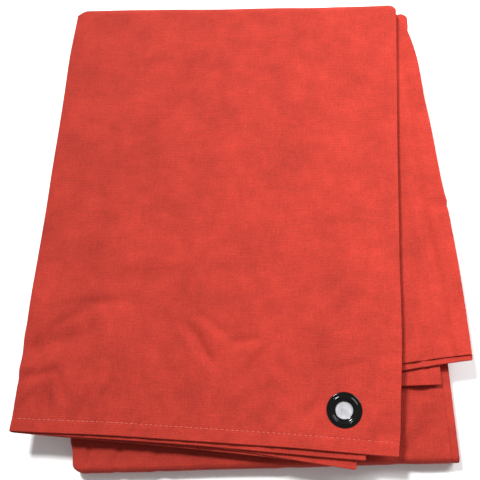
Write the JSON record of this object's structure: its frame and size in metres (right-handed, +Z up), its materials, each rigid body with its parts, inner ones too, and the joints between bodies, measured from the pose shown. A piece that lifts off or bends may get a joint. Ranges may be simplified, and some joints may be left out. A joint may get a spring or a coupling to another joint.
{
  "type": "folded fire blanket",
  "caption": "Folded hemmed cloth blanket with black metal eyelets near its corners; its upper half turns open over the far end fold.",
  "frame": {"origin": "middle of the folded blanket's footprint, on the surface it lies on", "axes": "+Z up out of the top cover, +Y along the blanket towards the far end fold, +X across it to the right"},
  "size_m": [0.3592, 0.425, 0.0305],
  "materials": {
    "red_canvas": "woven, matt",
    "black_enamel": "glossy enamel",
    "label_tape": "plain woven tape"
  },
  "bodies": {
    "lower_half": {"panel_09": "red_canvas", "panel_10": "red_canvas", "panel_11": "red_canvas", "panel_12": "red_canvas", "panel_13": "red_canvas", "panel_14": "red_canvas", "panel_15": "red_canvas", "panel_16": "red_canvas", "left_fold_09_12": "red_canvas", "left_fold_10_11": "red_canvas", "right_fold_11_12": "red_canvas", "left_fold_13_16": "red_canvas", "left_fold_14_15": "red_canvas", "right_fold_13_14": "red_canvas", "near_fold_09_16": "red_canvas", "near_fold_10_15": "red_canvas", "near_fold_11_14": "red_canvas", "near_fold_12_13": "red_canvas", "far_fold_01_16": "red_canvas", "far_fold_02_15": "red_canvas", "far_fold_03_14": "red_canvas", "far_fold_04_13": "red_canvas", "far_fold_05_12": "red_canvas", "far_fold_06_11": "red_canvas", "far_fold_07_10": "red_canvas", "far_fold_08_09": "red_canvas"},
    "upper_half": {"panel_01": "red_canvas", "panel_02": "red_canvas", "panel_03": "red_canvas", "panel_04": "red_canvas", "panel_05": "red_canvas", "panel_06": "red_canvas", "panel_07": "red_canvas", "panel_08": "red_canvas", "left_fold_01_04": "red_canvas", "left_fold_02_03": "red_canvas", "right_fold_03_04": "red_canvas", "left_fold_05_08": "red_canvas", "left_fold_06_07": "red_canvas", "right_fold_05_06": "red_canvas", "eyelet_1": "black_enamel", "eyelet_2": "black_enamel", "eyelet_3": "black_enamel", "eyelet_4": "black_enamel", "eyelet_washer_1": "black_enamel", "eyelet_washer_2": "black_enamel", "eyelet_washer_3": "black_enamel", "eyelet_washer_4": "black_enamel", "blank_label": "label_tape"}
  },
  "joints": [
    {"name": "upper_half_turn", "type": "hinge", "parent": "lower_half", "child": "upper_half", "pos_m": [0, 0.20127, 0.01465], "axis": [-1, 0, 0], "range_deg": [0, 179.5], "deforming": ["far_fold_01_16", "far_fold_02_15", "far_fold_03_14", "far_fold_04_13", "far_fold_05_12", "far_fold_06_11", "far_fold_07_10", "far_fold_08_09"]}
  ]
}
